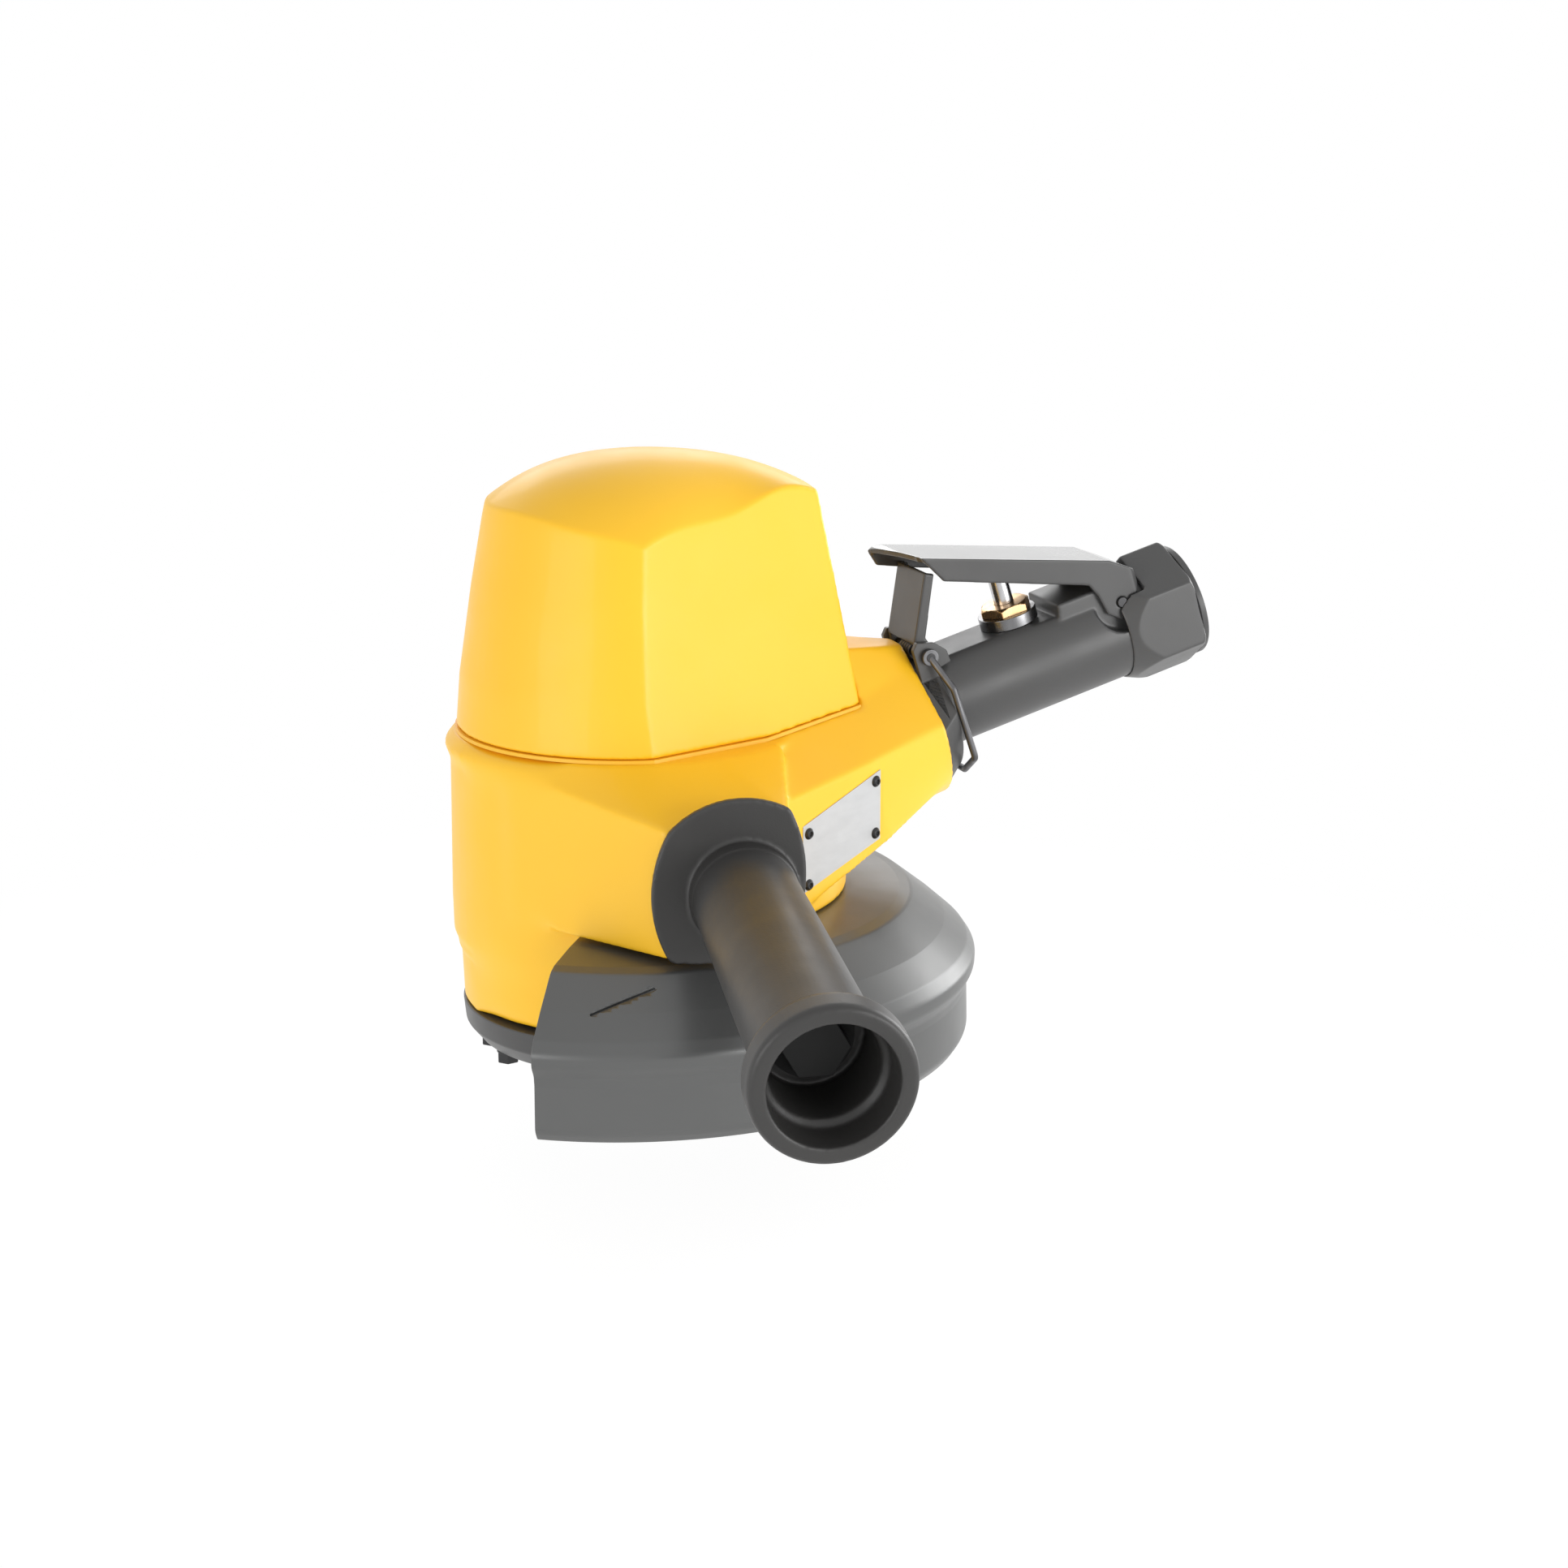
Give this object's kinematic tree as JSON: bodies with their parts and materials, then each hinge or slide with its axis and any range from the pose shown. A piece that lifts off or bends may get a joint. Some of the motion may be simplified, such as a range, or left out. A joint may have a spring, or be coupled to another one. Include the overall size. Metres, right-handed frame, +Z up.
{
  "type": "vertical grinder",
  "caption": "Hand-held air turbine grinder with a tall domed housing, half-round wheel guard, side support handle and rising throttle handle with lever, safety latch and hex inlet.",
  "frame": {"origin": "on the spindle axis in the plane of the wheel seat", "axes": "+Z up along the spindle from the wheel seat to the top cover, +X level in the direction of the throttle handle, the support handle points roughly to -Y"},
  "size_m": [0.2991, 0.3602, 0.2603],
  "materials": {
    "yellow": "gloss enamel",
    "lip": "thin gasket",
    "guard_grey": "semi-gloss",
    "black_cast": "satin",
    "grip": "satin",
    "lever_grey": "satin",
    "plate": "satin",
    "brass": "machined",
    "rubber": "matte",
    "alloy": "machined",
    "steel": "machined"
  },
  "bodies": {
    "frame": {"main_housing": "yellow", "upper_cover": "yellow", "cover_seal": "lip", "lower_cover": "black_cast", "cover_bolts": "steel", "spindle_seal": "rubber", "spindle_lower_bearing": "steel", "spindle_upper_bearing": "steel", "bearing_plate": "alloy", "ring_gear": "steel", "rotor_lower_bearing": "steel", "rotor_upper_bearing": "steel", "nozzle_plate": "alloy", "name_plate": "plate", "plate_screws": "steel", "guard_screws": "steel", "support_grip": "grip", "support_core": "steel", "support_washer": "steel", "support_bolt": "steel", "handle_collar": "black_cast", "throttle_handle": "black_cast", "inlet_bushing": "black_cast", "inlet_ring": "black_cast", "inlet_strainer": "steel", "valve_washer": "steel", "valve_cap": "brass", "valve_seat": "brass", "valve_spring": "steel", "lever_pin": "steel", "latch_pin": "steel"},
    "spindle": {"spindle": "steel", "wheel_flange": "steel", "planet_pins": "steel"},
    "planet_1": {"planet_gear_1": "steel"},
    "planet_2": {"planet_gear_2": "steel"},
    "planet_3": {"planet_gear_3": "steel"},
    "rotor": {"rotor_shaft": "steel", "turbine_wheel": "alloy", "governor": "steel"},
    "guard": {"wheel_guard": "guard_grey"},
    "lever": {"lever": "lever_grey"},
    "latch": {"safety_latch": "lever_grey", "latch_spring": "steel"},
    "valve": {"valve_pin": "steel"},
    "bail": {"wire_bail": "steel"}
  },
  "joints": [
    {"name": "spindle_spin", "type": "hinge", "parent": "frame", "child": "spindle", "pos_m": [0, 0, 0], "axis": [0, 0, 1], "continuous": true},
    {"name": "planet_1_spin", "type": "hinge", "parent": "spindle", "child": "planet_1", "pos_m": [0.027, 0, 0.0685], "axis": [0, 0, 1], "continuous": true},
    {"name": "planet_2_spin", "type": "hinge", "parent": "spindle", "child": "planet_2", "pos_m": [-0.0135, 0.02338, 0.0685], "axis": [0, 0, 1], "continuous": true},
    {"name": "planet_3_spin", "type": "hinge", "parent": "spindle", "child": "planet_3", "pos_m": [-0.0135, -0.02338, 0.0685], "axis": [0, 0, 1], "continuous": true},
    {"name": "rotor_spin", "type": "hinge", "parent": "frame", "child": "rotor", "pos_m": [0, 0, 0.1], "axis": [0, 0, 1], "continuous": true},
    {"name": "guard_turn", "type": "hinge", "parent": "frame", "child": "guard", "pos_m": [0, 0, 0.0728], "axis": [0, 0, 1], "range_deg": [-15, 15]},
    {"name": "lever_press", "type": "hinge", "parent": "frame", "child": "lever", "pos_m": [0.19104, 0, 0.16912], "axis": [0, -1, 0], "range_deg": [0, 8], "stiffness_Nm_per_rad": 2, "springref_deg": -8.59},
    {"name": "latch_fold", "type": "hinge", "parent": "frame", "child": "latch", "pos_m": [0.1116, 0, 0.1533], "axis": [0, -1, 0], "range_deg": [-57, 0.5]},
    {"name": "valve_push", "type": "slide", "parent": "frame", "child": "valve", "axis": [0.2924, 0, -0.9563], "range_m": [0, 0.0069], "deforming": ["valve_spring"]},
    {"name": "bail_swing", "type": "hinge", "parent": "frame", "child": "bail", "pos_m": [0.1116, 0, 0.1533], "axis": [0, -1, 0], "range_deg": [0, 18]}
  ],
  "couplings": [
    {"joint": "planet_1_spin", "follows": "spindle_spin", "ratio": -2.7143},
    {"joint": "planet_2_spin", "follows": "spindle_spin", "ratio": -2.7143},
    {"joint": "planet_3_spin", "follows": "spindle_spin", "ratio": -2.7143},
    {"joint": "rotor_spin", "follows": "spindle_spin", "ratio": 4.8},
    {"joint": "latch_fold", "follows": "lever_press", "ratio": -7},
    {"joint": "valve_push", "follows": "lever_press", "m_per_rad": 0.0485}
  ]
}
